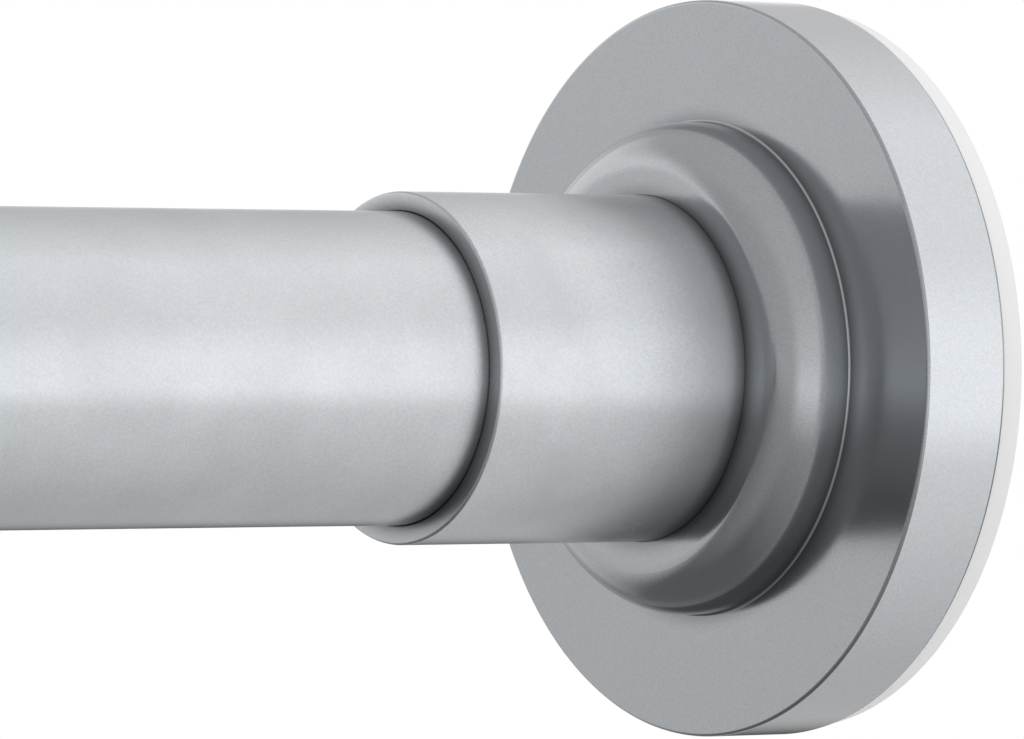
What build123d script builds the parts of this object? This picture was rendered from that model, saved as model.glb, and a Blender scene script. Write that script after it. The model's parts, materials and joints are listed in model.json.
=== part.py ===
from build123d import *
import os
from math import isclose, radians, sin, sqrt

# Extendable curtain rod that holds itself between two walls.
# A steel outer tube and a thinner inner tube slide in each other. Each free end wears a plain sleeve
# and a round moulded flange with a rubber pad, and presses on a wall.
# Inside, a split ring on an off-centre core grips the outer tube when the inner tube is turned,
# and a compression spring behind it pushes the inner tube out against the second wall.
#
# The rod lies along X. The origin is the centre of the first wall's face. That wall is on the +X side
# and the rod runs to -X, so a place that lies a distance s from the wall is at X = -s.
# All sizes are in millimetres.

# Steel tubes
outer_tube_radius = 12.7
outer_tube_wall = 0.8
telescope_gap = 0.8
inner_tube_wall = 0.7
tube_edge_round = 0.15

# How far the rod reaches
extension_travel = 203.2
press_travel = 20.0
tube_overlap = 56.8
closing_gap = 2.0

# Fits: pressed pieces, sliding pieces, and end play of the lock ring
fit_gap = 0.1
running_gap = 0.08
ring_play = 0.15

# Rubber pad
pad_thickness = 2.2
pad_inset = 0.5
pad_edge_round = 0.4
pad_spigot_depth = 1.8
pad_spigot_wall = 2.0
pad_groove_count = 5
pad_groove_pitch = 4.2
pad_groove_width = 1.6
pad_groove_depth = 0.6
pad_centre_radius = 6.0

# Flange and boss moulding
flange_thickness = 8.1
flange_land = 10.1
flange_edge_round = 0.3
boss_height = 6.0
boss_land = 2.4
boss_side = 1.5
boss_crown_width = 3.7
boss_edge_round = 0.5
boss_foot_round = 0.4
moulding_wall = 2.2
socket_depth = 7.2
hub_wall = 2.0
web_thickness = 2.5
hub_skirt = 1.8
rib_count = 8
rib_thickness = 1.6

# Sleeve over the tube's end, and the ring that fits it on the thinner tube
sleeve_showing = 24.5
sleeve_wall = 1.5
sleeve_clearance = 0.1
sleeve_edge_round = 0.25
sleeve_lead_in = 0.25
socket_gap = 0.03
reducer_recess = 1.0
reducer_groove_count = 12
reducer_groove_width = 2.0
reducer_groove_depth = 0.6

# Plug in the tube's end, with its screw and washer
plug_length = 18.0
plug_plate = 2.5
plug_wall = 1.5
plug_boss_wall = 2.3
plug_rib_count = 4
plug_rib_thickness = 1.4
screw_radius = 1.9
screw_length = 16.0
screw_point = 2.5
screw_head_radius = 3.8
screw_head_height = 2.4
screw_head_dome = 1.0
screw_recess_span = 4.2
screw_recess_width = 0.9
screw_recess_depth = 1.3
screw_hole_clearance = 0.3
screw_pilot_clearance = 0.05
washer_thickness = 0.8
washer_brim = 1.2

# Dimples punched through the tubes into a groove of the plug inside
punch_radius = 2.0
punch_depth = 1.1
plug_groove_place = 12.0

# Guide bush in the mouth of the outer tube
bush_length = 16.0
bush_lip_thickness = 2.0
bush_lip_height = 0.5
bush_lip_round = 0.4

# Lock: split ring, off-centre core, washer and nut
lock_offset = 1.2
lock_turn = 40.0
lock_contact_gap = 0.08
lock_ring_length = 16.0
lock_ring_thin_wall = 2.7
lock_ring_slot = 2.5
lock_ring_chamfer = 0.5
lock_ring_flute_count = 16
lock_ring_flute_radius = 0.6
lock_ring_flute_depth = 0.4
lock_core_flange_thickness = 2.0
lock_core_flange_gap = 0.6
lock_washer_thickness = 1.2
lock_washer_inset = 1.3
lock_nut_thickness = 4.0
lock_nut_wall = 1.5
lock_nut_chamfer = 0.4

# Hexagonal spindle
spindle_flats = 6.0
spindle_step = 0.5
spindle_thread_out = 1.5
spindle_end_gap = 3.5
spindle_end_chamfer = 0.4
spindle_collar_thickness = 2.0
spindle_collar_height = 1.8
spindle_tail_gap = 4.0

# Guide plug in the inner end of the inner tube
guide_lip_thickness = 2.0
guide_body_length = 14.0
guide_hub_wall = 2.2
guide_rim_wall = 1.1
guide_recess_depth = 10.0
guide_stop_gap = 2.0

# Pusher on the spindle, its pin, the spring and the spring's stop
pusher_gap = 0.4
pusher_thickness = 3.0
pusher_hub_wall = 1.6
pusher_hub_length = 6.0
pusher_pin_radius = 1.0
pusher_pin_inset = 0.2
spring_wire_radius = 0.75
spring_side_gap = 1.4
spring_length = 60.0
spring_turns = 9
spring_end_turns = 1.25
stop_length = 8.0
stop_seat_margin = 1.0

# Radii that follow from those sizes
outer_bore = outer_tube_radius - outer_tube_wall
inner_tube_radius = outer_bore - telescope_gap
inner_bore = inner_tube_radius - inner_tube_wall
sleeve_bore = outer_tube_radius + sleeve_clearance
sleeve_radius = sleeve_bore + sleeve_wall
socket_radius = sleeve_radius + socket_gap
hub_radius = socket_radius + hub_wall
boss_front_radius = sleeve_radius + boss_land
boss_radius = boss_front_radius + boss_crown_width
flange_radius = boss_radius + flange_land
rim_inner_radius = flange_radius - moulding_wall
pad_radius = flange_radius - pad_inset
washer_radius = screw_head_radius + washer_brim
lock_ring_radius = outer_bore - running_gap
lock_bore = lock_ring_radius - lock_ring_thin_wall - lock_offset
lock_core_radius = lock_bore - 2 * lock_offset * sin(radians(lock_turn / 2)) - lock_contact_gap
lock_core_flange_radius = outer_bore - lock_core_flange_gap
lock_washer_radius = lock_ring_radius - lock_washer_inset
thread_radius = spindle_flats / 2 - spindle_step
spindle_corner_radius = spindle_flats / sqrt(3)
spring_mean_radius = inner_bore - spring_side_gap - spring_wire_radius

# Distances from the first wall, in order along the closed rod
flange_back = pad_thickness
flange_front = flange_back + flange_thickness
boss_front = flange_front + boss_height
sleeve_mouth = boss_front + sleeve_showing
tube_seat = boss_front - socket_depth
web_back = tube_seat - web_thickness
hub_back = web_back - hub_skirt
plug_end = tube_seat + plug_length
spindle_tip = plug_end + spindle_end_gap
nut_face = spindle_tip + spindle_thread_out
lock_washer_face = nut_face + lock_nut_thickness
lock_core_face = lock_washer_face + lock_washer_thickness
ring_start = lock_core_face + ring_play
ring_end = ring_start + lock_ring_length
core_flange_face = ring_end + ring_play
collar_face = core_flange_face + lock_core_flange_thickness
collar_back = collar_face + spindle_collar_thickness
guide_lip_face = collar_back + guide_stop_gap + press_travel
inner_tube_end = guide_lip_face + guide_lip_thickness
guide_end = inner_tube_end + guide_body_length
spring_start = guide_end + pusher_thickness
spring_end = spring_start + spring_length
stop_end = spring_end + stop_length
spindle_tail = spring_end - press_travel - spindle_tail_gap
outer_tube_end = inner_tube_end + extension_travel + tube_overlap
bush_lip_end = outer_tube_end + bush_lip_thickness
rod_length = bush_lip_end + press_travel + closing_gap + sleeve_mouth
inner_tube_far_end = rod_length - tube_seat

# Places of the punched dimples
end_dimple = tube_seat + plug_groove_place
guide_dimple = (inner_tube_end + guide_end) / 2
stop_dimple = (spring_end + stop_end) / 2
inner_dimples = (guide_dimple, stop_dimple, rod_length - end_dimple)


def turned(*outline):
    """Solid turned about the rod's axis from corners given as (distance from the wall, radius)."""
    corners = [(-distance, radius) for distance, radius in outline]
    return revolve(make_face(Polyline(*corners, close=True)), Axis.X)


def ring(start, end, inner, outer):
    """Plain ring between two distances from the wall."""
    return turned((start, inner), (end, inner), (end, outer), (start, outer))


def disc(start, end, radius):
    """Plain round bar between two distances from the wall."""
    return ring(start, end, 0, radius)


def hexagon(start, end, flats):
    """Hexagonal bar between two distances from the wall, measured across its flats."""
    section = Plane.YZ.offset(-start) * RegularPolygon(flats / 2, 6, major_radius=False)
    return extrude(section, -(end - start))


def rounded(solid, size, *places):
    """Rounds the circular edges that lie at (distance from the wall, radius) places."""
    found = [
        edge
        for edge in solid.edges().filter_by(GeomType.CIRCLE)
        for distance, radius in places
        if isclose(edge.radius, radius, abs_tol=1e-4)
        and isclose(edge.arc_center.X, -distance, abs_tol=1e-4)
    ]
    return fillet(found, size)


def ribs(count, start, end, inner, outer, thickness):
    """Flat ribs that stand round the axis like spokes."""
    height = end - start
    rib = Pos(-(start + end) / 2, 0, (inner + outer) / 2) * Box(height, thickness, outer - inner)
    return [Rot(360 / count * i, 0, 0) * rib for i in range(count)]


def punch_groove(middle, radius, wall):
    """Groove cut in a plug, wide and deep enough for the dimples of a tube of this radius and wall."""
    bore = radius - wall
    centre = radius + punch_radius - punch_depth
    half_width = sqrt((punch_radius + wall) ** 2 - (centre - bore) ** 2) + fit_gap
    return ring(middle - half_width, middle + half_width, groove_floor(bore), bore)


def groove_floor(bore):
    """Radius that a plug's groove is cut down to in a tube of this bore."""
    return bore - punch_depth - 2 * fit_gap


def tube(start, end, radius, wall, punched):
    """Tube with softly broken edges, and two opposite dimples at each punched distance."""
    body = ring(start, end, radius - wall, radius)
    body = rounded(body, tube_edge_round, (start, radius), (end, radius))
    outside = disc(start, end, radius)
    for distance in punched:
        for side in (-1, 1):
            spot = Pos(-distance, side * (radius + punch_radius - punch_depth), 0)
            body = body + (spot * Sphere(punch_radius + wall) & outside)
            body = body - spot * Sphere(punch_radius)
    return body


def flange_moulding():
    """Round flange and crowned boss, hollow and ribbed at the back, with the sleeve's socket."""
    crown = TangentArc(
        (-(flange_front + boss_side), boss_radius),
        (-boss_front, boss_front_radius),
        tangent=(-1, 0),
    )
    sides = Polyline(
        (-boss_front, boss_front_radius),
        (-boss_front, 0),
        (-flange_back, 0),
        (-flange_back, flange_radius),
        (-flange_front, flange_radius),
        (-flange_front, boss_radius),
        (-(flange_front + boss_side), boss_radius),
    )
    body = revolve(make_face([*crown.edges(), *sides.edges()]), Axis.X)
    flange_edges = ((flange_front, flange_radius), (flange_back, flange_radius))
    body = rounded(body, flange_edge_round, *flange_edges)
    body = rounded(body, boss_edge_round, (boss_front, boss_front_radius))
    body = rounded(body, boss_foot_round, (flange_front, boss_radius))
    floor = flange_front - moulding_wall
    hollow = turned(
        (flange_back, 0),
        (flange_back, rim_inner_radius),
        (floor, rim_inner_radius),
        (floor, boss_radius - moulding_wall),
        (boss_front - moulding_wall, hub_radius + fit_gap),
        (boss_front - moulding_wall, hub_radius),
        (hub_back, hub_radius),
        (hub_back, 0),
    )
    body = body - hollow
    rib_ends = (hub_radius - fit_gap, rim_inner_radius + fit_gap)
    body = body + ribs(rib_count, hub_back, floor + fit_gap, *rib_ends, rib_thickness)
    body = body - disc(tube_seat, boss_front, socket_radius)
    body = body - disc(hub_back, web_back, washer_radius + screw_hole_clearance)
    return body - disc(web_back, tube_seat, screw_radius + screw_hole_clearance)


def sleeve():
    """Plain sleeve from the socket's floor to its open end, with a soft lead-in for the tube."""
    body = ring(tube_seat, sleeve_mouth, sleeve_bore, sleeve_radius)
    body = rounded(body, sleeve_edge_round, (sleeve_mouth, sleeve_radius))
    return rounded(body, sleeve_lead_in, (sleeve_mouth, sleeve_bore))


def pad():
    """Rubber pad with round grip grooves on the wall side and a spigot that snaps into the flange."""
    body = disc(0, flange_back, pad_radius)
    body = rounded(body, pad_edge_round, (0, pad_radius))
    spigot_radius = rim_inner_radius - fit_gap
    spigot_end = flange_back + pad_spigot_depth
    body = body + ring(flange_back, spigot_end, spigot_radius - pad_spigot_wall, spigot_radius)
    for i in range(pad_groove_count):
        inner = pad_centre_radius + i * pad_groove_pitch
        body = body - ring(0, pad_groove_depth, inner, inner + pad_groove_width)
    return body


def end_plug(radius, wall):
    """Ribbed cup pressed into a tube's end, with a boss for the screw and a groove for the dimples."""
    bore = radius - wall
    plate_back = tube_seat + plug_plate
    inner = groove_floor(bore) - plug_wall
    boss = screw_radius + screw_pilot_clearance + plug_boss_wall
    body = disc(tube_seat, plug_end, bore - fit_gap) - ring(plate_back, plug_end, boss, inner)
    rib_ends = (boss - fit_gap, inner + fit_gap)
    body = body + ribs(plug_rib_count, plate_back, plug_end, *rib_ends, plug_rib_thickness)
    body = body - punch_groove(end_dimple, radius, wall)
    return body - disc(tube_seat, plug_end, screw_radius + screw_pilot_clearance)


def screw():
    """Self-tapping pan head screw with a cross recess."""
    face = web_back - washer_thickness
    top = face - screw_head_height
    end = face + screw_length
    rim = top + screw_head_dome
    dome = ThreePointArc(
        (-top, 0),
        (-(top + screw_head_dome / 4), screw_head_radius / 2),
        (-rim, screw_head_radius),
    )
    sides = Polyline(
        (-rim, screw_head_radius),
        (-face, screw_head_radius),
        (-face, screw_radius),
        (-(end - screw_point), screw_radius),
        (-end, 0),
        (-top, 0),
    )
    body = revolve(make_face([*dome.edges(), *sides.edges()]), Axis.X)
    slot = Pos(-(top + screw_recess_depth / 2), 0, 0)
    slot = slot * Box(screw_recess_depth, screw_recess_span, screw_recess_width)
    return body - slot - Rot(90, 0, 0) * slot


def washer():
    """Flat washer under the screw's head."""
    return ring(web_back - washer_thickness, web_back, screw_radius + screw_hole_clearance, washer_radius)


def reducer():
    """Fluted ring that centres the thinner tube in the sleeve."""
    end = sleeve_mouth - reducer_recess
    outer = sleeve_bore - fit_gap
    body = ring(tube_seat, end, inner_tube_radius + fit_gap, outer)
    length = end - tube_seat - moulding_wall
    groove = Pos(-(tube_seat + length / 2), 0, outer)
    groove = groove * Box(length, reducer_groove_width, 2 * reducer_groove_depth)
    return body - [Rot(360 / reducer_groove_count * i, 0, 0) * groove for i in range(reducer_groove_count)]


def bush():
    """Guide bush in the outer tube's mouth, with a lip that covers the tube's cut edge."""
    bore = inner_tube_radius + running_gap
    lip = outer_tube_radius + bush_lip_height
    body = ring(outer_tube_end - bush_length, outer_tube_end, bore, outer_bore - fit_gap)
    body = body + ring(outer_tube_end, bush_lip_end, bore, lip)
    return rounded(body, bush_lip_round, (bush_lip_end, lip))


def lock_ring():
    """Split ring with an off-centre bore and fluted grip, which fills the outer tube."""
    inset = lock_ring_radius - lock_ring_chamfer
    body = turned(
        (ring_start, 0),
        (ring_start, inset),
        (ring_start + lock_ring_chamfer, lock_ring_radius),
        (ring_end - lock_ring_chamfer, lock_ring_radius),
        (ring_end, inset),
        (ring_end, 0),
    )
    body = body - Pos(0, 0, lock_offset) * disc(ring_start, ring_end, lock_bore)
    middle = -(ring_start + ring_end) / 2
    slot = Pos(middle, 0, lock_ring_radius) * Box(lock_ring_length, lock_ring_slot, lock_ring_radius)
    flute_centre = lock_ring_radius + lock_ring_flute_radius - lock_ring_flute_depth
    flute = Pos(0, 0, flute_centre) * disc(ring_start, ring_end, lock_ring_flute_radius)
    step = 360 / lock_ring_flute_count
    flutes = [Rot(step * (i + 0.5), 0, 0) * flute for i in range(lock_ring_flute_count)]
    return body - slot - flutes


def lock_core():
    """Off-centre core that spreads the ring, with a flange that keeps the ring on it."""
    body = Pos(0, 0, lock_offset) * disc(lock_core_face, core_flange_face, lock_core_radius)
    body = body + disc(core_flange_face, collar_face, lock_core_flange_radius)
    return body - hexagon(lock_core_face, collar_face, spindle_flats + 2 * fit_gap)


def lock_washer():
    """Large washer that closes the ring in on the core's other side."""
    return ring(lock_washer_face, lock_core_face, thread_radius + fit_gap, lock_washer_radius)


def lock_nut():
    """Hexagonal nut on the spindle's threaded end, with chamfered corners."""
    flats = 2 * (thread_radius + lock_nut_wall)
    corner = flats / sqrt(3)
    barrel = turned(
        (nut_face, 0),
        (nut_face, corner - lock_nut_chamfer),
        (nut_face + lock_nut_chamfer, corner),
        (lock_washer_face - lock_nut_chamfer, corner),
        (lock_washer_face, corner - lock_nut_chamfer),
        (lock_washer_face, 0),
    )
    body = hexagon(nut_face, lock_washer_face, flats) & barrel
    return body - disc(nut_face, lock_washer_face, thread_radius + fit_gap / 2)


def spindle():
    """Hexagonal bar with a swaged collar behind the core and a round end for the nut."""
    thread = turned(
        (spindle_tip, 0),
        (spindle_tip, thread_radius - spindle_end_chamfer),
        (spindle_tip + spindle_end_chamfer, thread_radius),
        (lock_core_face, thread_radius),
        (lock_core_face, 0),
    )
    body = thread + hexagon(lock_core_face, spindle_tail, spindle_flats)
    body = body + disc(collar_face, collar_back, spindle_corner_radius + spindle_collar_height)
    return body - pin_bar(pusher_pin_radius + fit_gap / 2, 2 * spindle_flats)


def pin_bar(radius, length):
    """Round bar across the axis, in the middle of the pusher's hub."""
    middle = spring_start + pusher_hub_length / 2
    return Pos(-middle, 0, 0) * Rot(90, 0, 0) * Cylinder(radius, length)


def pusher():
    """Disc on the spindle that the spring pushes on, with a hub for its cross pin."""
    hub = spindle_corner_radius + pusher_hub_wall
    body = disc(guide_end, spring_start, inner_bore - pusher_gap)
    body = body + disc(spring_start, spring_start + pusher_hub_length, hub)
    body = body - hexagon(guide_end, spring_start + pusher_hub_length, spindle_flats + 2 * fit_gap)
    return body - pin_bar(pusher_pin_radius + fit_gap / 2, 4 * hub)


def pusher_pin():
    """Cross pin that holds the pusher on the spindle."""
    hub = spindle_corner_radius + pusher_hub_wall
    return pin_bar(pusher_pin_radius, 2 * (hub - pusher_pin_inset))


def guide_plug():
    """Plug with the hexagonal hole that the spindle slides in, and a lip that rides in the outer tube."""
    hub = spindle_corner_radius + guide_hub_wall
    recess = groove_floor(inner_bore) - guide_rim_wall
    body = disc(inner_tube_end, guide_end, inner_bore - fit_gap)
    body = body + disc(guide_lip_face, inner_tube_end, outer_bore - running_gap)
    body = body - ring(guide_lip_face, guide_lip_face + guide_recess_depth, hub, recess)
    body = body - punch_groove(guide_dimple, inner_tube_radius, inner_tube_wall)
    return body - hexagon(guide_lip_face, guide_end, spindle_flats + 2 * running_gap)


def spring_stop():
    """Ring held by dimples in the inner tube, which the spring's second end bears on."""
    bore = spring_mean_radius - spring_wire_radius - stop_seat_margin
    body = ring(spring_end, stop_end, bore, inner_bore - fit_gap)
    return body - punch_groove(stop_dimple, inner_tube_radius, inner_tube_wall)


def tension_spring():
    """Compression spring with closed ends that are ground flat."""
    closed_pitch = 2 * spring_wire_radius + fit_gap / 2
    closed_height = spring_end_turns * closed_pitch
    open_height = spring_length - 2 * closed_height
    open_pitch = open_height / spring_turns
    first = Helix(closed_pitch, closed_height, spring_mean_radius)
    middle = Helix(open_pitch, open_height, spring_mean_radius)
    middle = Pos(0, 0, closed_height) * Rot(0, 0, 360 * spring_end_turns) * middle
    turns_before_last = spring_end_turns + spring_turns
    last = Pos(0, 0, closed_height + open_height) * Rot(0, 0, 360 * turns_before_last) * first
    coil = Part()
    for path in (first, middle, last):
        section = Plane(origin=path @ 0, z_dir=path % 0) * Circle(spring_wire_radius)
        coil = coil + sweep(section, path=path, is_frenet=True)
    block = 4 * spring_mean_radius
    coil = coil & Pos(0, 0, spring_length / 2) * Box(block, block, spring_length)
    return Pos(-spring_start, 0, 0) * Rot(0, -90, 0) * coil


outer_sizes = (outer_tube_radius, outer_tube_wall)
inner_sizes = (inner_tube_radius, inner_tube_wall)
other_end = Pos(-rod_length, 0, 0) * Rot(0, 0, 180)

nodes = {
    "outer_tube": tube(tube_seat, outer_tube_end, *outer_sizes, [end_dimple]),
    "outer_tube_bush": bush(),
    "fixed_end_flange": flange_moulding(),
    "fixed_end_sleeve": sleeve(),
    "fixed_end_pad": pad(),
    "fixed_end_plug": end_plug(*outer_sizes),
    "fixed_end_screw": screw(),
    "fixed_end_washer": washer(),
    "lock_ring": lock_ring(),
    "lock_core": lock_core(),
    "lock_washer": lock_washer(),
    "lock_nut": lock_nut(),
    "spindle": spindle(),
    "spring_pusher": pusher(),
    "pusher_pin": pusher_pin(),
    "guide_plug": guide_plug(),
    "tension_spring": tension_spring(),
    "spring_stop": spring_stop(),
    "inner_tube": tube(inner_tube_end, inner_tube_far_end, *inner_sizes, inner_dimples),
    "moving_end_flange": other_end * flange_moulding(),
    "moving_end_sleeve": other_end * sleeve(),
    "moving_end_reducer": other_end * reducer(),
    "moving_end_pad": other_end * pad(),
    "moving_end_plug": other_end * end_plug(*inner_sizes),
    "moving_end_screw": other_end * screw(),
    "moving_end_washer": other_end * washer(),
}

os.makedirs("parts", exist_ok=True)
for name, solid in nodes.items():
    export_step(solid, f"parts/{name}.step")
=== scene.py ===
"""Looks of the extendable curtain rod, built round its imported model.

The rod lies along X. The first wall is at X = 0 and the rod runs to -X, so a place that lies a
distance s from that wall is at X = -s. Sizes in the classes are in millimetres.
"""

import json
import logging
import math
from contextlib import contextmanager
from dataclasses import dataclass
from enum import Enum
from typing import Callable, Iterator

import bmesh
import bpy
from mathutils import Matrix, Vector


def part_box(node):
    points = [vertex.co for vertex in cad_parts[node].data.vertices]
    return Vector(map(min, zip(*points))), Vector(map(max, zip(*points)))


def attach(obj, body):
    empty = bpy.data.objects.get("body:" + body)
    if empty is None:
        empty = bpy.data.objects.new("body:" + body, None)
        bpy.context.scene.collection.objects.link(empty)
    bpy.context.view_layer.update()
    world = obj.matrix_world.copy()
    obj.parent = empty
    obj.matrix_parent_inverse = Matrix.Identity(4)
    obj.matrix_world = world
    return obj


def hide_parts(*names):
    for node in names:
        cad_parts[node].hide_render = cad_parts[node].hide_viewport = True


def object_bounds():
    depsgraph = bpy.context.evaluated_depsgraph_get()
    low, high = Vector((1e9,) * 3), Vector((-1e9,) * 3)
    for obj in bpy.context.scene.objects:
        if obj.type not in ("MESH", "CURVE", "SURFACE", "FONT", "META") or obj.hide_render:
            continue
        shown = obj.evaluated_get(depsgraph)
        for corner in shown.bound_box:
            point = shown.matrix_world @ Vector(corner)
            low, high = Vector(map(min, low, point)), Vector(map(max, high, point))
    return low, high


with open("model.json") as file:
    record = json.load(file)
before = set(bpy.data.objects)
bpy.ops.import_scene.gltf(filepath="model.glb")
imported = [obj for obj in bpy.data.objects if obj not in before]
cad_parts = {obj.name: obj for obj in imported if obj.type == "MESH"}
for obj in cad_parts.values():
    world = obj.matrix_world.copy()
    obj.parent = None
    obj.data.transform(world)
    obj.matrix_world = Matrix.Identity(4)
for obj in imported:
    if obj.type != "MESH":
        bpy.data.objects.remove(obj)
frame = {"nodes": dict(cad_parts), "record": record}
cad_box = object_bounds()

log = logging.getLogger("curtain_rod")

# Blender's unit is the metre.
MM = 0.001

# Vertices closer than this are at one place. Those of a long spun tube stray a little more.
SAME_PLACE = 1e-6
NEAR_PLACE = 1e-5

SEED_SIZE = 1e-4
FINE_STEPS = 256
ROUND_STEPS = 4
SMOOTH_ANGLE = math.radians(35)
ROD_LENGTH = -cad_box[0].x / MM

# A place is a distance from the wall and a radius or height. A stop is an angle and a brightness.
Place = tuple[float, float]
Stop = tuple[float, float]
Colour = tuple[float, float, float, float]
Sockets = dict[str, bpy.types.NodeSocket]


class End(Enum):
    """Which end of the rod a fitting is on."""

    FIXED = "fixed_end"
    MOVING = "moving_end"


def linear(hex_colour: str) -> Colour:
    """Turns an sRGB hex colour into the linear colour that a shader takes.

    Args:
        hex_colour: six hex digits.

    Returns:
        Linear red, green, blue and full alpha.
    """
    channels = []
    for start in (0, 2, 4):
        value = int(hex_colour[start:start + 2], 16) / 255
        channels.append(value / 12.92 if value <= 0.04045 else ((value + 0.055) / 1.055) ** 2.4)
    return (*channels, 1.0)


def grey(value: float) -> Colour:
    """Gives the linear grey of a value."""
    return (value, value, value, 1.0)


def per_mm(size: float) -> float:
    """Gives the scale of a pattern whose features lie that many millimetres apart."""
    return 1 / (size * MM)


def add_node(
    tree: bpy.types.NodeTree, kind: str, settings: dict | None = None, links: dict | None = None,
) -> bpy.types.Node:
    """Adds a node with its settings and its links.

    Args:
        tree: node tree that the node goes into.
        kind: type of the node.
        settings: values by the name of an attribute or an input, or by the number of an input.
            The name stops gives the stops of a colour ramp.
        links: output sockets by the name or number of the input that they go to.

    Returns:
        The new node.
    """
    node = tree.nodes.new(kind)
    for name, value in (settings or {}).items():
        if name == "stops":
            ramp = node.color_ramp
            while len(ramp.elements) < len(value):
                ramp.elements.new(0.5)
            for element, (position, colour) in zip(ramp.elements, value):
                element.position, element.color = position, colour
        elif isinstance(name, int) or name in node.inputs:
            node.inputs[name].default_value = value
        else:
            setattr(node, name, value)
    for name, socket in (links or {}).items():
        tree.links.new(socket, node.inputs[name])
    return node


@contextmanager
def editing(piece: bpy.types.Object) -> Iterator[None]:
    """Opens a piece in edit mode for the lines under it and closes it again.

    Args:
        piece: mesh object to edit.
    """
    select_only(piece)
    bpy.ops.object.mode_set(mode="EDIT")
    yield
    bpy.ops.object.mode_set(mode="OBJECT")


def select_only(*pieces: bpy.types.Object) -> None:
    """Selects these pieces and nothing else.

    Args:
        pieces: the pieces, of which the first one becomes active.
    """
    bpy.ops.object.select_all(action="DESELECT")
    for piece in pieces:
        piece.select_set(True)
    bpy.context.view_layer.objects.active = pieces[0]


def select_vertices(piece: bpy.types.Object, wanted: Callable[[Vector], bool]) -> None:
    """Selects some vertices of the piece in edit mode, and no others.

    Args:
        piece: the piece that is being edited.
        wanted: says of a vertex's place whether the vertex is selected.
    """
    bpy.ops.mesh.select_mode(type="VERT")
    bpy.ops.mesh.select_all(action="DESELECT")
    mesh = bmesh.from_edit_mesh(piece.data)
    for vertex in mesh.verts:
        vertex.select = wanted(vertex.co)
    mesh.select_flush_mode()
    bmesh.update_edit_mesh(piece.data)


def close_up(piece: bpy.types.Object) -> None:
    """Merges the doubles of a spun mesh and turns its faces outwards.

    Args:
        piece: the spun piece.
    """
    with editing(piece):
        bpy.ops.mesh.select_all(action="SELECT")
        bpy.ops.mesh.remove_doubles(threshold=SAME_PLACE)
        bpy.ops.mesh.normals_make_consistent(inside=False)


def smooth(piece: bpy.types.Object) -> None:
    """Shades a piece smooth, with its flat faces kept flat and its rounded edges soft.

    Args:
        piece: the finished piece.
    """
    select_only(piece)
    bpy.ops.object.shade_smooth_by_angle(angle=SMOOTH_ANGLE)
    bpy.ops.object.modifier_add(type="WEIGHTED_NORMAL")
    piece.modifiers[-1].keep_sharp = True
    bpy.ops.object.modifier_apply(modifier=piece.modifiers[-1].name)


def fuse(piece: bpy.types.Object, other: bpy.types.Object) -> None:
    """Makes one solid of a piece and another one.

    Args:
        piece: the piece that stays.
        other: the solid that is used up.
    """
    select_only(piece)
    bpy.ops.object.modifier_add(type="BOOLEAN")
    union = piece.modifiers[-1]
    union.operation, union.solver, union.object = "UNION", "EXACT", other
    bpy.ops.object.modifier_apply(modifier=union.name)
    bpy.data.objects.remove(other)


def copy_to_other_end(piece: bpy.types.Object, name: str) -> bpy.types.Object:
    """Copies a piece of the fixed end to the moving end, with the place in its own mesh.

    Args:
        piece: the piece at the fixed end.
        name: name of the copy.

    Returns:
        The copy, at the origin and unturned.
    """
    select_only(piece)
    bpy.ops.object.duplicate(linked=False)
    twin = bpy.context.object
    twin.name = twin.data.name = name
    twin.rotation_euler = (0, 0, math.pi)
    twin.location = (-ROD_LENGTH * MM, 0, 0)
    bpy.ops.object.transform_apply(location=True, rotation=True, scale=True)
    return twin


def dress(piece: bpy.types.Object, material: bpy.types.Material) -> None:
    """Gives the whole piece one material."""
    piece.data.materials.clear()
    piece.data.materials.append(material)


def stand_for(piece: bpy.types.Object, node: str) -> None:
    """Lets a finished piece replace its CAD node and ride on the same body.

    Args:
        piece: the finished piece.
        node: name of the CAD node.
    """
    bodies = frame["record"]["behaviour"]["bodies"]
    body = next(name for name, members in bodies.items() if node in members)
    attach(piece, body)
    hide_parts(node)
    log.info("%s: %d faces, rides on %s", piece.name, len(piece.data.polygons), body)


def near(node: str) -> float:
    """Gives the distance from the wall at which a node starts, in millimetres."""
    return -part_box(node)[1].x / MM


def far(node: str) -> float:
    """Gives the distance from the wall at which a node ends, in millimetres."""
    return -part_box(node)[0].x / MM


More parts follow.
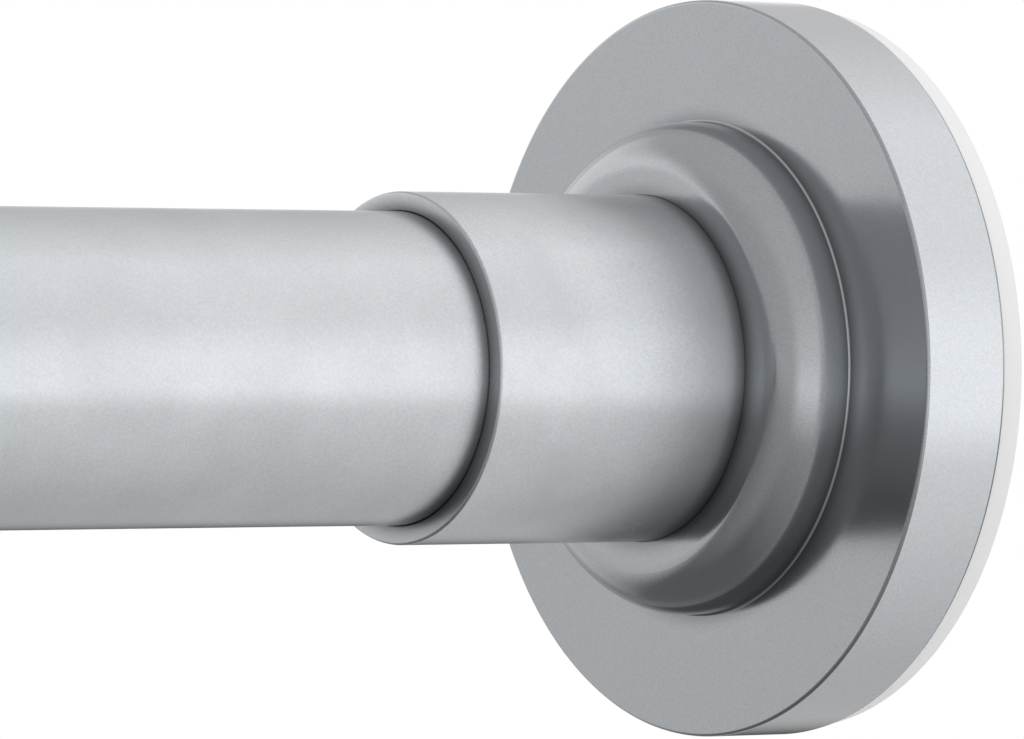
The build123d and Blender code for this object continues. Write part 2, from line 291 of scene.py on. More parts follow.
class HalfSection:
    """Half section of a turned piece, drawn corner by corner and then spun about the rod's axis."""

    def __init__(self, name: str, distance: float, radius: float) -> None:
        """Starts the section at its first corner.

        Args:
            name: name of the piece.
            distance: the corner's distance from the wall.
            radius: the corner's radius.
        """
        bpy.ops.object.select_all(action="DESELECT")
        bpy.ops.mesh.primitive_plane_add(size=SEED_SIZE)
        self.piece = bpy.context.object
        self.piece.name = self.piece.data.name = name
        bpy.ops.object.mode_set(mode="EDIT")
        bpy.ops.mesh.select_all(action="SELECT")
        bpy.ops.mesh.merge(type="CENTER")
        bpy.ops.transform.translate(value=(-distance * MM, 0, radius * MM))
        self.here = (distance, radius)

    def to(self, *places: Place) -> "HalfSection":
        """Draws straight lines.

        Args:
            places: the places that the lines go to in turn.

        Returns:
            The section itself.
        """
        for distance, radius in places:
            step = ((self.here[0] - distance) * MM, 0, (radius - self.here[1]) * MM)
            bpy.ops.mesh.extrude_region_move(TRANSFORM_OT_translate={"value": step})
            self.here = (distance, radius)
        return self

    def arc(self, centre: Place, degrees: float, steps: int) -> "HalfSection":
        """Draws an arc about a centre.

        Args:
            centre: place of the arc's centre.
            degrees: how far it turns, positive from outwards towards the far end of the rod.
            steps: how many straight edges it has.

        Returns:
            The section itself.
        """
        middle = (-centre[0] * MM, 0, centre[1] * MM)
        turn = math.radians(degrees)
        bpy.ops.mesh.spin(steps=steps, angle=turn, center=middle, axis=(0, 1, 0))
        along, out = self.here[0] - centre[0], self.here[1] - centre[1]
        self.here = (
            centre[0] + along * math.cos(turn) + out * math.sin(turn),
            centre[1] - along * math.sin(turn) + out * math.cos(turn),
        )
        return self

    def close(self) -> "HalfSection":
        """Joins the last place to the first one.

        Returns:
            The section itself.
        """
        mesh = bmesh.from_edit_mesh(self.piece.data)
        for vertex in mesh.verts:
            vertex.select = len(vertex.link_edges) == 1
        mesh.select_flush_mode()
        bmesh.update_edit_mesh(self.piece.data)
        bpy.ops.mesh.edge_face_add()
        return self

    def round(self, size: float, *places: Place) -> "HalfSection":
        """Rounds some corners.

        Args:
            size: radius of the rounding.
            places: places of the corners.

        Returns:
            The section itself.
        """
        corners = [Vector((-distance * MM, 0, radius * MM)) for distance, radius in places]
        select_vertices(self.piece, lambda co: any((co - c).length < SAME_PLACE for c in corners))
        bpy.ops.mesh.bevel(offset=size * MM, segments=ROUND_STEPS, affect="VERTICES")
        return self

    def spin(self) -> bpy.types.Object:
        """Spins the section about the rod's axis into a closed mesh.

        Returns:
            The turned piece.
        """
        bpy.ops.mesh.select_all(action="SELECT")
        bpy.ops.mesh.spin(steps=FINE_STEPS, angle=math.tau, center=(0, 0, 0), axis=(1, 0, 0))
        bpy.ops.object.mode_set(mode="OBJECT")
        close_up(self.piece)
        return self.piece


@dataclass(frozen=True)
class Finish:
    """What every finish shares: its name, and how its material is put together."""

    name: str

    def material(self) -> bpy.types.Material:
        """Makes the material.

        Returns:
            The material, its patterns laid in Object coordinates.
        """
        material = bpy.data.materials.new(self.name)
        material.use_nodes = True
        tree = material.node_tree
        shader = tree.nodes["Principled BSDF"]
        for name, value in self.constants().items():
            shader.inputs[name].default_value = value
        where = add_node(tree, "ShaderNodeTexCoord").outputs["Object"]
        for name, socket in self.patterns(tree, where).items():
            tree.links.new(socket, shader.inputs[name])
        return material

    def constants(self) -> dict[str, float]:
        """Gives what is the same all over the surface, by the name of the shader's input."""
        raise NotImplementedError

    def patterns(self, tree: bpy.types.NodeTree, where: bpy.types.NodeSocket) -> Sockets:
        """Draws what changes over the surface.

        Args:
            tree: node tree of the material.
            where: socket of the Object coordinates.

        Returns:
            Sockets by the name of the shader's input that they go to.
        """
        raise NotImplementedError


@dataclass(frozen=True)
class MetallicCoat(Finish):
    """Silver paint with fine metal flakes, sprayed or powder coated and then baked.

    The eye sees a satin metal with a soft reflection, a fine sparkle of flakes and a faint unevenness of
    the film. Where a reach is set, painted shade darkens the colour in corners by ambient occlusion.
    Real flakes are about 0.03 mm across and are drawn as coarse as they need to be to show.
    """

    colour: str = "AFB2B5"
    dark_flake: str = "A7AAAD"
    # Painted shade: the colour that the coat darkens to in corners, where ambient occlusion closes in.
    corner: str = "828586"
    painted_shade_reach: float = 0.0
    painted_shade_full_below: float = 0.47
    painted_shade_none_above: float = 0.82
    painted_shade_rays: int = 8
    roughness: float = 0.16
    roughness_spread: float = 0.03
    gloss_patch: float = 9.0
    gloss_detail: float = 3.0
    gloss_low: float = 0.3
    gloss_high: float = 0.7
    flake_spacing: float = 0.13
    flake_tilt: float = 0.0012
    film_wave: float = 2.2
    film_detail: float = 1.0
    film_height: float = 0.0012
    stretch: float = 0.0
    quarter_turn: float = 0.25

    def constants(self) -> dict[str, float]:
        """Sets the metal and, where the gloss is stretched, how far and which way."""
        if self.stretch:
            return {"Metallic": 1.0, "Anisotropic": self.stretch, "Anisotropic Rotation": self.quarter_turn}
        return {"Metallic": 1.0}

    def patterns(self, tree: bpy.types.NodeTree, where: bpy.types.NodeSocket) -> Sockets:
        """Draws the flakes, the film and the gloss.

        Args:
            tree: node tree of the material.
            where: socket of the Object coordinates.

        Returns:
            Sockets by the name of the shader's input that they go to.
        """
        flakes = add_node(
            tree, "ShaderNodeTexVoronoi", {"Scale": per_mm(self.flake_spacing)}, {"Vector": where},
        )
        sockets = {
            "Base Color": self.tone(tree, flakes),
            "Roughness": self.gloss(tree, where),
            "Normal": self.relief(tree, where, flakes),
        }
        if self.stretch:
            around = add_node(tree, "ShaderNodeTangent", {"direction_type": "RADIAL", "axis": "X"})
            sockets["Tangent"] = around.outputs["Tangent"]
        return sockets

    def tone(self, tree: bpy.types.NodeTree, flakes: bpy.types.Node) -> bpy.types.NodeSocket:
        """Colours the flakes and paints shade into corners by ambient occlusion.

        Args:
            tree: node tree of the material.
            flakes: node of the flakes.

        Returns:
            Socket of the colour.
        """
        chance = add_node(tree, "ShaderNodeSeparateColor", links={"Color": flakes.outputs["Color"]})
        tone = add_node(
            tree, "ShaderNodeMix",
            {"data_type": "RGBA", "A": linear(self.dark_flake), "B": linear(self.colour)},
            {"Factor": chance.outputs["Red"]},
        )
        if not self.painted_shade_reach:
            return tone.outputs["Result"]
        # Painted shade: the colour is mixed towards the corner colour where ambient occlusion finds nearby
        # surfaces.
        openness = add_node(
            tree, "ShaderNodeAmbientOcclusion",
            {"samples": self.painted_shade_rays, "Distance": self.painted_shade_reach * MM},
        )
        unshaded_share = add_node(
            tree, "ShaderNodeMapRange", {"From Min": self.painted_shade_full_below, "From Max": self.painted_shade_none_above},
            {"Value": openness.outputs["AO"]},
        )
        shaded = add_node(
            tree, "ShaderNodeMix", {"data_type": "RGBA", "A": linear(self.corner)},
            {"Factor": unshaded_share.outputs["Result"], "B": tone.outputs["Result"]},
        )
        return shaded.outputs["Result"]

    def gloss(self, tree: bpy.types.NodeTree, where: bpy.types.NodeSocket) -> bpy.types.NodeSocket:
        """Lays soft patches of more and less gloss.

        Args:
            tree: node tree of the material.
            where: socket of the Object coordinates.

        Returns:
            Socket of the roughness.
        """
        patches = add_node(
            tree, "ShaderNodeTexNoise",
            {"Scale": per_mm(self.gloss_patch), "Detail": self.gloss_detail}, {"Vector": where},
        )
        gloss = add_node(
            tree, "ShaderNodeMapRange",
            {
                "From Min": self.gloss_low, "From Max": self.gloss_high,
                "To Min": self.roughness - self.roughness_spread,
                "To Max": self.roughness + self.roughness_spread,
            },
            {"Value": patches.outputs["Fac"]},
        )
        return gloss.outputs["Result"]

    def relief(
        self, tree: bpy.types.NodeTree, where: bpy.types.NodeSocket, flakes: bpy.types.Node,
    ) -> bpy.types.NodeSocket:
        """Tilts the flakes a little on a slightly wavy film.

        Args:
            tree: node tree of the material.
            where: socket of the Object coordinates.
            flakes: node of the flakes.

        Returns:
            Socket of the normal.
        """
        film = add_node(
            tree, "ShaderNodeTexNoise",
            {"Scale": per_mm(self.film_wave), "Detail": self.film_detail}, {"Vector": where},
        )
        wavy = add_node(
            tree, "ShaderNodeBump", {"Distance": self.film_height * MM, "Strength": 1.0},
            {"Height": film.outputs["Fac"]},
        )
        sparkle = add_node(
            tree, "ShaderNodeBump", {"Distance": self.flake_tilt * MM, "Strength": 1.0},
            {"Height": flakes.outputs["Distance"], "Normal": wavy.outputs["Normal"]},
        )
        return sparkle.outputs["Normal"]


@dataclass(frozen=True)
class Moulding(Finish):
    """Plain moulded plastic or rubber.

    The eye sees an even colour with faint flow patches, a low sheen and the fine grain of the mould,
    which is drawn coarser than the real one so that it shows.
    """

    colour: str
    flow_colour: str
    roughness: float
    ior: float
    roughness_spread: float = 0.05
    flow: float = 12.0
    flow_detail: float = 4.0
    grain: float = 0.35
    grain_detail: float = 2.0
    grain_height: float = 0.004

    def constants(self) -> dict[str, float]:
        """Sets how strongly the plastic mirrors."""
        return {"IOR": self.ior}

    def patterns(self, tree: bpy.types.NodeTree, where: bpy.types.NodeSocket) -> Sockets:
        """Draws the flow patches and the grain.

        Args:
            tree: node tree of the material.
            where: socket of the Object coordinates.

        Returns:
            Sockets by the name of the shader's input that they go to.
        """
        flow = add_node(
            tree, "ShaderNodeTexNoise",
            {"Scale": per_mm(self.flow), "Detail": self.flow_detail}, {"Vector": where},
        )
        tone = add_node(
            tree, "ShaderNodeMix",
            {"data_type": "RGBA", "A": linear(self.colour), "B": linear(self.flow_colour)},
            {"Factor": flow.outputs["Fac"]},
        )
        pits = add_node(
            tree, "ShaderNodeTexNoise",
            {"Scale": per_mm(self.grain), "Detail": self.grain_detail}, {"Vector": where},
        )
        grain = add_node(
            tree, "ShaderNodeBump", {"Distance": self.grain_height * MM, "Strength": 1.0},
            {"Height": pits.outputs["Fac"]},
        )
        gloss = add_node(
            tree, "ShaderNodeMapRange",
            {
                "To Min": self.roughness - self.roughness_spread,
                "To Max": self.roughness + self.roughness_spread,
            },
            {"Value": pits.outputs["Fac"]},
        )
        return {
            "Base Color": tone.outputs["Result"],
            "Roughness": gloss.outputs["Result"],
            "Normal": grain.outputs["Normal"],
        }


@dataclass(frozen=True)
class WorkedSteel(Finish):
    """Bare or plated steel with the marks of its drawing or plating.

    The eye sees bright metal with fine lines along the bar, or soft patches where it was plated. The
    lines are drawn coarser than the real ones so that they show.
    """

    colour: str
    tint: str
    roughness: float
    line_width: float
    line_length: float
    line_detail: float = 3.0
    line_depth: float = 0.002
    roughness_spread: float = 0.06

    def constants(self) -> dict[str, float]:
        """Sets the metal."""
        return {"Metallic": 1.0}

    def patterns(self, tree: bpy.types.NodeTree, where: bpy.types.NodeSocket) -> Sockets:
        """Draws the lines or patches.

        Args:
            tree: node tree of the material.
            where: socket of the Object coordinates.

        Returns:
            Sockets by the name of the shader's input that they go to.
        """
        along, across = per_mm(self.line_length), per_mm(self.line_width)
        drawn = add_node(tree, "ShaderNodeMapping", {"Scale": (along, across, across)}, {"Vector": where})
        lines = add_node(
            tree, "ShaderNodeTexNoise",
            {"Scale": 1.0, "Detail": self.line_detail}, {"Vector": drawn.outputs["Vector"]},
        )
        tone = add_node(
            tree, "ShaderNodeMix",
            {"data_type": "RGBA", "A": linear(self.colour), "B": linear(self.tint)},
            {"Factor": lines.outputs["Fac"]},
        )
        gloss = add_node(
            tree, "ShaderNodeMapRange",
            {
                "To Min": self.roughness - self.roughness_spread,
                "To Max": self.roughness + self.roughness_spread,
            },
            {"Value": lines.outputs["Fac"]},
        )
        scratches = add_node(
            tree, "ShaderNodeBump", {"Distance": self.line_depth * MM, "Strength": 1.0},
            {"Height": lines.outputs["Fac"]},
        )
        return {
            "Base Color": tone.outputs["Result"],
            "Roughness": gloss.outputs["Result"],
            "Normal": scratches.outputs["Normal"],
        }


class Finishes:
    """Every finish on the rod, each made once."""

    def __init__(self) -> None:
        """Makes the materials."""
        # Baked on long drawn tube: light runs along the rod in soft streaks.
        self.tube_coat = MetallicCoat(
            "satin_silver_coat_on_drawn_steel", "BABDC0", "B2B5B8", roughness=0.25, stretch=0.88,
        ).material()
        # The same streaks on a little lighter coat, with painted shade where the sleeve meets the boss.
        self.sleeve_coat = MetallicCoat(
            "satin_silver_coat_on_moulded_sleeve", "BEC1C4", "B6B9BC", corner="6A6D6E",
            painted_shade_reach=3.0, roughness=0.26, stretch=0.91,
        ).material()
        # Sprayed on a smooth moulding: clearer reflections, and painted shade round the boss's foot.
        self.moulding_coat = MetallicCoat(
            "satin_silver_spray_coat_on_moulded_abs", painted_shade_reach=2.4,
        ).material()
        # Matt white with the fine grain of the mould.
        self.rubber = Moulding(
            "moulded_white_thermoplastic_rubber", "F5F5F5", "F1F1F2", 0.55, 1.5,
        ).material()
        # Light grey with a waxy sheen.
        self.acetal = Moulding("moulded_grey_acetal", "CBCCCD", "C5C6C8", 0.38, 1.48).material()
        # Warm off-white, a little duller.
        self.nylon = Moulding("moulded_natural_nylon", "EDEBE3", "E6E3D9", 0.42, 1.53).material()
        # Bright with soft bluish patches of plating.
        self.zinc = WorkedSteel("bright_zinc_plated_steel", "C9CCD0", "B9BEC6", 0.3, 0.8, 0.8).material()
        # Grey and bright, with fine drawing lines along the bar.
        self.drawn_bar = WorkedSteel(
            "cold_drawn_bright_steel", "B4B5B6", "A3A4A6", 0.3, 0.12, 9.0,
        ).material()
        # Dark and slightly oily.
        self.spring_wire = WorkedSteel(
            "oil_tempered_spring_wire", "6E6E70", "5A5A5C", 0.35, 0.1, 4.0,
        ).material()


@dataclass(frozen=True)
class CoatedTube:
    """Round steel tube with softly broken edges and pairs of punched dimples."""

    node: str
    start: float
    end: float
    radius: float
    wall: float
    dimples: tuple[float, ...]
    edge_round: float = 0.15
    dimple_reach: float = 2.3
    dimple_depth: float = 1.1
    dimple_cells: int = 9

    def build(self) -> bpy.types.Object:
        """Turns the tube and punches its dimples.

        Returns:
            The finished tube.
        """
        bore = self.radius - self.wall
        stations = sorted(
            middle + self.dimple_reach * i / self.dimple_cells
            for middle in self.dimples
            for i in range(-self.dimple_cells, self.dimple_cells + 1)
        )
        section = HalfSection(self.node + "_skin", self.start, bore)
        section.to((self.start, self.radius), *[(s, self.radius) for s in stations])
        section.to((self.end, self.radius), (self.end, bore), *[(s, bore) for s in reversed(stations)])
        section.close()
        section.round(self.edge_round, (self.start, self.radius), (self.end, self.radius))
        tube = section.spin()
        for middle in self.dimples:
            for side in (-1, 1):
                self.punch(tube, middle, side)
        smooth(tube)
        return tube

    def punch(self, tube: bpy.types.Object, middle: float, side: int) -> None:
        """Pushes one dimple into the wall with a soft shoulder.

        Args:
            tube: the turned tube.
            middle: distance of the dimple from the wall.
            side: -1 or 1, the side of the tube along Y.
        """
        centres = [Vector((-middle, side * r, 0)) * MM for r in (self.radius, self.radius - self.wall)]
        with editing(tube):
            select_vertices(tube, lambda co: any((co - c).length < NEAR_PLACE for c in centres))
            bpy.ops.transform.translate(
                value=(0, -side * self.dimple_depth * MM, 0), use_proportional_edit=True,
                proportional_edit_falloff="SMOOTH", proportional_size=self.dimple_reach * MM,
            )


@dataclass(frozen=True)
class GuideBush:
    """Plastic bush in the mouth of the outer tube, with a lip over the cut edge."""

    tube_end: float
    length: float = 16.0
    bore: float = 11.18
    body_radius: float = 11.8
    lip_radius: float = 13.2
    lip_thickness: float = 2.0
    lip_round: float = 0.4
    mouth_round: float = 0.25

    def build(self) -> bpy.types.Object:
        """Turns the bush.

        Returns:
            The finished bush.
        """
        back, front = self.tube_end - self.length, self.tube_end + self.lip_thickness
        section = HalfSection("outer_tube_bush_moulding", back, self.bore)
        section.to((back, self.body_radius), (self.tube_end, self.body_radius))
        section.to((self.tube_end, self.lip_radius), (front, self.lip_radius), (front, self.bore)).close()
        section.round(self.lip_round, (front, self.lip_radius))
        section.round(self.mouth_round, (front, self.bore), (back, self.body_radius))
        bush = section.spin()
        smooth(bush)
        return bush


@dataclass(frozen=True)
class TelescopicTubes:
    """The outer tube with its bush, and the thinner tube that slides in it."""

    outer_radius: float = 12.7
    outer_wall: float = 0.8
    inner_radius: float = 11.1
    inner_wall: float = 0.7
    end_dimple: float = 21.1
    guide_lip: float = 2.0

    def tubes(self) -> tuple[CoatedTube, CoatedTube]:
        """Lays out both tubes, dimpled where a plug, the guide or the spring stop sits in them.

        Returns:
            The outer tube and the inner one.
        """
        guide_dimple = (near("guide_plug") + self.guide_lip + far("guide_plug")) / 2
        stop_dimple = (near("spring_stop") + far("spring_stop")) / 2
        inner_dimples = (guide_dimple, stop_dimple, ROD_LENGTH - self.end_dimple)
        outer_span = (near("outer_tube"), far("outer_tube"))
        inner_span = (near("inner_tube"), far("inner_tube"))
        return (
            CoatedTube("outer_tube", *outer_span, self.outer_radius, self.outer_wall, (self.end_dimple,)),
            CoatedTube("inner_tube", *inner_span, self.inner_radius, self.inner_wall, inner_dimples),
        )

    def build(self, finishes: Finishes) -> None:
        """Builds and dresses both tubes and the bush.

        Args:
            finishes: the materials.
        """
        outer, inner = self.tubes()
        for tube in (outer, inner):
            piece = tube.build()
            dress(piece, finishes.tube_coat)
            stand_for(piece, tube.node)
        bush = GuideBush(outer.end).build()
        dress(bush, finishes.acetal)
        stand_for(bush, "outer_tube_bush")


@dataclass(frozen=True)
class EndFitting:
    """Flange with its crowned boss, the sleeve that goes into it and the rubber pad behind it."""

    flange_radius: float = 30.5
    flange_back: float = 2.2
    flange_front: float = 10.3
    flange_edge: float = 0.3
    flange_back_edge: float = 0.4
    boss_front: float = 16.3
    boss_side: float = 1.5
    boss_radius: float = 20.4
    boss_front_radius: float = 16.7
    boss_edge: float = 0.5
    boss_foot: float = 0.2
    crown_steps: int = 24
    wall: float = 2.2
    socket_radius: float = 14.33
    tube_seat: float = 9.1
    hub_radius: float = 16.33
    hub_back: float = 4.8
    web_back: float = 6.6
    screw_recess: float = 5.3
    screw_hole: float = 2.2
    rib_count: int = 8
    rib_thickness: float = 1.6
    rib_overlap: float = 0.1
    sleeve_mouth: float = 40.8
    sleeve_radius: float = 14.3
    sleeve_bore: float = 12.72
    sleeve_edge: float = 0.25
    sleeve_lead_in: float = 0.12
    pad_radius: float = 30.0
    pad_edge: float = 0.4
    pad_spigot_gap: float = 0.1
    pad_spigot_depth: float = 1.8
    pad_spigot_wall: float = 2.0
    groove_count: int = 5
    groove_pitch: float = 4.2
    groove_width: float = 1.6
    groove_depth: float = 0.6
    groove_first: float = 6.0

    def flange(self) -> bpy.types.Object:
        """Models the flange and boss, hollow and ribbed at the back.

        Returns:
            The finished moulding.
        """
        shoulder = self.flange_front + self.boss_side
        height = self.boss_front - shoulder
        run = self.boss_radius - self.boss_front_radius
        bend = (height * height + run * run) / (2 * run)
        crown_turn = math.degrees(math.asin(height / bend))
        floor = self.flange_front - self.wall
        rim = self.flange_radius - self.wall
        section = HalfSection("fixed_end_flange_moulding", self.tube_seat, self.screw_hole)
        section.to((self.tube_seat, self.socket_radius), (self.boss_front, self.socket_radius))
        section.to((self.boss_front, self.boss_front_radius))
        section.arc((shoulder, self.boss_radius - bend), -crown_turn, self.crown_steps)
        section.to((self.flange_front, self.boss_radius))
        section.to((self.flange_front, self.flange_radius), (self.flange_back, self.flange_radius))
        section.to((self.flange_back, rim), (floor, rim), (floor, self.boss_radius - self.wall))
        section.to((self.boss_front - self.wall, self.hub_radius), (self.hub_back, self.hub_radius))
        section.to((self.hub_back, self.screw_recess), (self.web_back, self.screw_recess))
        section.to((self.web_back, self.screw_hole)).close()
        section.round(self.boss_foot, (self.flange_front, self.boss_radius))
        section.round(self.boss_edge, (self.boss_front, self.boss_front_radius))
        section.round(self.flange_edge, (self.flange_front, self.flange_radius))
        section.round(self.flange_back_edge, (self.flange_back, self.flange_radius))
        flange = section.spin()
        fuse(flange, self.ribs(floor, rim))
        smooth(flange)
        return flange

    def ribs(self, floor: float, rim: float) -> bpy.types.Object:
        """Models the spokes behind the flange as one mesh.

        Args:
            floor: distance of the flange's inner face from the wall.
            rim: inner radius of the flange's rim.

        Returns:
            The ribs, a little longer than the space they fill.
        """
        start, end = self.hub_back, floor + self.rib_overlap
        inner, outer = self.hub_radius - self.rib_overlap, rim + self.rib_overlap
        made = []
        for i in range(self.rib_count):
            angle = math.tau * i / self.rib_count
            reach = (inner + outer) / 2
            place = Vector((-(start + end) / 2, -reach * math.sin(angle), reach * math.cos(angle))) * MM
            bpy.ops.object.select_all(action="DESELECT")
            bpy.ops.mesh.primitive_cube_add(size=1, location=place, rotation=(angle, 0, 0))
            rib = bpy.context.object
            rib.scale = Vector((end - start, self.rib_thickness, outer - inner)) * MM
            bpy.ops.object.transform_apply(location=True, rotation=True, scale=True)
            made.append(rib)
        select_only(*made)
        bpy.ops.object.join()
        return bpy.context.object

    def sleeve(self) -> bpy.types.Object:
        """Turns the sleeve.

        Returns:
            The finished sleeve.
        """
        seat, mouth = self.tube_seat, self.sleeve_mouth
        section = HalfSection("fixed_end_sleeve_shell", seat, self.sleeve_bore)
        section.to((seat, self.sleeve_radius), (mouth, self.sleeve_radius))
        section.to((mouth, self.sleeve_bore)).close()
        section.round(self.sleeve_edge, (mouth, self.sleeve_radius))
        section.round(self.sleeve_lead_in, (mouth, self.sleeve_bore))
        sleeve = section.spin()
        smooth(sleeve)
        return sleeve

    def pad(self) -> bpy.types.Object:
        """Turns the pad, with grip grooves on its wall side and a spigot that goes into the flange.

        Returns:
            The finished pad.
        """
        spigot = self.flange_radius - self.wall - self.pad_spigot_gap
        spigot_end = self.flange_back + self.pad_spigot_depth
        section = HalfSection("fixed_end_pad_rubber", 0.0, 0.0)
        for i in range(self.groove_count):
            inner = self.groove_first + i * self.groove_pitch
            outer = inner + self.groove_width
            section.to((0.0, inner), (self.groove_depth, inner), (self.groove_depth, outer), (0.0, outer))
        section.to((0.0, self.pad_radius), (self.flange_back, self.pad_radius), (self.flange_back, spigot))
        section.to((spigot_end, spigot), (spigot_end, spigot - self.pad_spigot_wall))
        section.to((self.flange_back, spigot - self.pad_spigot_wall), (self.flange_back, 0.0))
        section.round(self.pad_edge, (0.0, self.pad_radius))
        pad = section.spin()
        smooth(pad)
        return pad

    def build(self, finishes: Finishes) -> None:
        """Makes the three pieces at the fixed end and their copies at the moving end.

        Args:
            finishes: the materials.
        """
        for part, piece, material, slot in (
            ("flange", self.flange(), finishes.moulding_coat, "coated_moulding"),
            ("sleeve", self.sleeve(), finishes.sleeve_coat, "coated_moulding"),
            ("pad", self.pad(), finishes.rubber, "pad_rubber"),
        ):
            dress(piece, material)
            twin_name = piece.name.replace(End.FIXED.value, End.MOVING.value)
            twin = copy_to_other_end(piece, twin_name)
            stand_for(piece, f"{End.FIXED.value}_{part}")
            stand_for(twin, f"{End.MOVING.value}_{part}")


@dataclass(frozen=True)
class Mechanism:
    """The hidden pieces inside the tubes, which keep their CAD meshes and get their finishes."""

    acetal: tuple[str, ...] = (
        "fixed_end_plug", "moving_end_plug", "moving_end_reducer", "guide_plug", "spring_stop",
    )
    nylon: tuple[str, ...] = ("lock_ring", "lock_core")
    zinc: tuple[str, ...] = (
        "fixed_end_screw", "fixed_end_washer", "moving_end_screw", "moving_end_washer",
        "lock_washer", "lock_nut",
    )
    drawn_bar: tuple[str, ...] = ("spindle", "spring_pusher", "pusher_pin")
    spring_wire: tuple[str, ...] = ("tension_spring",)

    def dress(self, finishes: Finishes) -> None:
        """Gives each inner piece its material.

        Args:
            finishes: the materials.
        """
        for material, nodes in (
            (finishes.acetal, self.acetal),
            (finishes.nylon, self.nylon),
            (finishes.zinc, self.zinc),
            (finishes.drawn_bar, self.drawn_bar),
            (finishes.spring_wire, self.spring_wire),
        ):
            for node in nodes:
                dress(frame["nodes"][node], material)
                log.info("%s wears %s", node, material.name)


@dataclass(frozen=True)
class Room:
    """White room that lies round the rod: plain white to the camera, softly graded in reflections.

    A grading gives brightness by the angle round the rod in degrees: -180 is the far side, -90 the
    floor, 0 the near side and 90 the ceiling. at_wall holds for directions straight at the first wall,
    along +X, square for those square to the rod and towards_rod for those along -X. The stretches say,
    by a direction's X, where each grading passes into the next one, from towards_rod to at_wall.
    """

    strength: float = 2.0
    ambient: float = 0.45
    at_wall: tuple[Stop, ...] = ((-180, 0.1), (-50, 0.15), (0, 0.5), (60, 0.35), (180, 0.2))
    towards_wall: tuple[Stop, ...] = (
        (-180, 0.05), (-165, 0.05), (-145, 0.35), (-100, 0.45), (-30, 0.7), (-15, 0.95), (10, 0.95),
        (35, 0.8), (80, 0.8), (130, 0.5), (160, 0.35), (175, 0.75), (180, 0.6),
    )
    near_square: tuple[Stop, ...] = (
        (-180, 0.45), (-155, 0.15), (-105, 0.1), (0, 0.35), (110, 0.35), (145, 0.3), (170, 0.45),
    )
    square: tuple[Stop, ...] = (
        (-180, 0.45), (-160, 0.4), (-145, 0.1), (-95, 0.1), (-35, 0.25), (-10, 0.6), (5, 0.5), (35, 0.4),
        (140, 0.35), (155, 0.6), (170, 0.6), (180, 0.45),
    )
    towards_rod: tuple[Stop, ...] = (
        (-180, 0.4), (-150, 0.15), (-40, 0.25), (-5, 0.35), (150, 0.3), (180, 0.4),
    )
    stretches: tuple[tuple[float, float], ...] = (
        (-0.85, -0.55), (0.0, 0.15), (0.25, 0.4), (0.7, 0.9),
    )

    def mirrored(self, tree: bpy.types.NodeTree) -> bpy.types.NodeSocket:
        """Draws the room as glossy surfaces mirror it.

        Args:
            tree: node tree of the world.

        Returns:
            Socket of the room's brightness.
        """
        facing = add_node(tree, "ShaderNodeTexCoord").outputs["Generated"]
        away = add_node(tree, "ShaderNodeSeparateXYZ", links={0: facing}).outputs
        nearwards = add_node(
            tree, "ShaderNodeMath", {"operation": "MULTIPLY", 1: -1.0}, {0: away["Y"]},
        ).outputs["Value"]
        angle = add_node(
            tree, "ShaderNodeMath", {"operation": "ARCTAN2"}, {0: away["Z"], 1: nearwards},
        ).outputs["Value"]
        turn = add_node(
            tree, "ShaderNodeMapRange", {"From Min": -math.pi, "From Max": math.pi}, {"Value": angle},
        ).outputs["Result"]
        gradings = []
        for grading in (self.towards_rod, self.square, self.near_square, self.towards_wall, self.at_wall):
            stops = [((degrees + 180.0) / 360.0, grey(value)) for degrees, value in grading]
            ramp = add_node(tree, "ShaderNodeValToRGB", {"stops": stops}, {"Fac": turn})
            gradings.append(ramp.outputs["Color"])
        shade = gradings[0]
        for (start, end), grading in zip(self.stretches, gradings[1:]):
            change = add_node(
                tree, "ShaderNodeMapRange",
                {"interpolation_type": "SMOOTHSTEP", "From Min": start, "From Max": end},
                {"Value": away["X"]},
            )
            shade = add_node(
                tree, "ShaderNodeMix", {"data_type": "RGBA"},
                {"Factor": change.outputs["Result"], "A": shade, "B": grading},
            ).outputs["Result"]
        return shade

    def build(self) -> None:
        """Makes the world: one brightness for matt surfaces, the gradings for glossy ones."""
        world = bpy.data.worlds.new("white_studio")
        bpy.context.scene.world = world
        world.use_nodes = True
        tree = world.node_tree
        tree.nodes.clear()
        path = add_node(tree, "ShaderNodeLightPath")
        bounced = add_node(
            tree, "ShaderNodeMath", {"operation": "MAXIMUM"},
            {0: path.outputs["Is Glossy Ray"], 1: path.outputs["Is Transmission Ray"]},
        )
        ambient = add_node(tree, "ShaderNodeBackground", {"Color": grey(1.0), "Strength": self.ambient})
        reflected = add_node(
            tree, "ShaderNodeBackground", {"Strength": self.strength}, {"Color": self.mirrored(tree)},
        )
        white = add_node(tree, "ShaderNodeBackground", {"Color": grey(1.0), "Strength": 1.0})
        unseen = add_node(
            tree, "ShaderNodeMixShader",
            links={
                0: bounced.outputs["Value"], 1: ambient.outputs["Background"],
                2: reflected.outputs["Background"],
            },
        )
        seen = add_node(
            tree, "ShaderNodeMixShader",
            links={
                0: path.outputs["Is Camera Ray"], 1: unseen.outputs["Shader"],
                2: white.outputs["Background"],
            },
        )
        add_node(tree, "ShaderNodeOutputWorld", links={"Surface": seen.outputs["Shader"]})


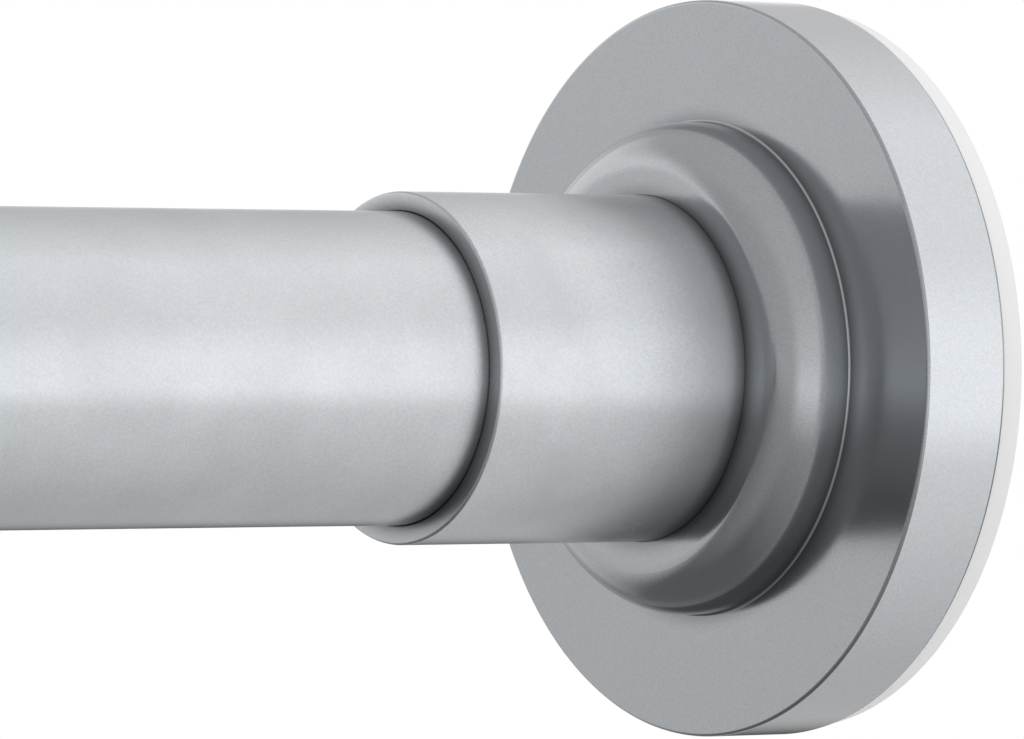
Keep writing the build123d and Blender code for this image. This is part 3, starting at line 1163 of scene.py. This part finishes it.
@dataclass(frozen=True)
class Studio:
    """Plain soft studio: pale floor, large lamps and the camera."""

    lens: float = 307.9
    sensor: float = 36.0
    bearing: float = 53.85
    distance: float = 714.4
    aim: Place = (29.27, -0.1)
    floor_drop: float = 120.0
    floor_radius: float = 1500.0
    floor_sides: int = 96
    floor_solid: float = 450.0
    floor_gone: float = 1455.0
    paper: str = "F7F7F7"
    lamp_power: float = 7.0
    lamp_size: float = 1200.0
    overhead: tuple[float, float, float] = (-150.0, -250.0, 1300.0)
    front: tuple[float, float, float] = (900.0, -1200.0, 500.0)

    def camera(self) -> None:
        """Places the camera at the photograph's viewing angle."""
        angle = math.radians(self.bearing)
        looking = Vector((math.cos(angle), math.sin(angle), 0))
        aim = Vector((-self.aim[0], 0, self.aim[1])) * MM
        bpy.ops.object.select_all(action="DESELECT")
        bpy.ops.object.camera_add(location=aim - looking * self.distance * MM)
        camera = bpy.context.object
        camera.rotation_euler = looking.to_track_quat("-Z", "Y").to_euler()
        camera.data.lens = self.lens
        camera.data.sensor_width = self.sensor
        camera.data.dof.use_dof = False
        bpy.context.scene.camera = camera

    def floor(self) -> None:
        """Lays a pale round floor of matt paper, without gloss, that fades out at its rim."""
        bpy.ops.object.select_all(action="DESELECT")
        middle = Vector((-ROD_LENGTH / 2, 0, -self.floor_drop)) * MM
        bpy.ops.mesh.primitive_circle_add(
            vertices=self.floor_sides, radius=self.floor_radius * MM, fill_type="NGON", location=middle,
        )
        floor = bpy.context.object
        floor.name = "floor"
        material = bpy.data.materials.new("matt_white_paper")
        material.use_nodes = True
        tree = material.node_tree
        tree.nodes.clear()
        where = add_node(tree, "ShaderNodeTexCoord").outputs["Object"]
        away = add_node(tree, "ShaderNodeVectorMath", {"operation": "LENGTH"}, {0: where})
        fade = add_node(
            tree, "ShaderNodeMapRange",
            {
                "interpolation_type": "SMOOTHSTEP",
                "From Min": self.floor_solid * MM, "From Max": self.floor_gone * MM,
            },
            {"Value": away.outputs["Value"]},
        )
        paper = add_node(tree, "ShaderNodeBsdfDiffuse", {"Color": linear(self.paper)})
        clear = add_node(tree, "ShaderNodeBsdfTransparent")
        both = add_node(
            tree, "ShaderNodeMixShader",
            links={0: fade.outputs["Result"], 1: paper.outputs["BSDF"], 2: clear.outputs["BSDF"]},
        )
        add_node(tree, "ShaderNodeOutputMaterial", links={"Surface": both.outputs["Shader"]})
        dress(floor, material)
        floor.visible_glossy = False

    def lamps(self) -> None:
        """Hangs the soft lamps."""
        target = Vector((-ROD_LENGTH / 2, 0, 0)) * MM
        for name, place in (("overhead_softbox", self.overhead), ("front_softbox", self.front)):
            offset = Vector(place) * MM
            bpy.ops.object.select_all(action="DESELECT")
            bpy.ops.object.light_add(type="AREA", location=target + offset)
            lamp = bpy.context.object
            lamp.name = name
            lamp.rotation_euler = (-offset).to_track_quat("-Z", "Y").to_euler()
            lamp.data.energy = self.lamp_power
            lamp.data.size = self.lamp_size * MM
            lamp.visible_camera = False
            lamp.visible_glossy = False

    def build(self) -> None:
        """Sets up the studio."""
        bpy.context.scene.view_settings.view_transform = "Standard"
        self.camera()
        self.floor()
        self.lamps()


def main() -> None:
    """Builds the rod piece by piece, then the studio and the room, logging each new piece's faces and body
    and each inner piece's finish.
    """
    logging.basicConfig(level=logging.INFO, format="%(message)s")
    finishes = Finishes()
    TelescopicTubes().build(finishes)
    EndFitting().build(finishes)
    Mechanism().dress(finishes)
    Studio().build()
    Room().build()


if __name__ == "__main__":
    main()
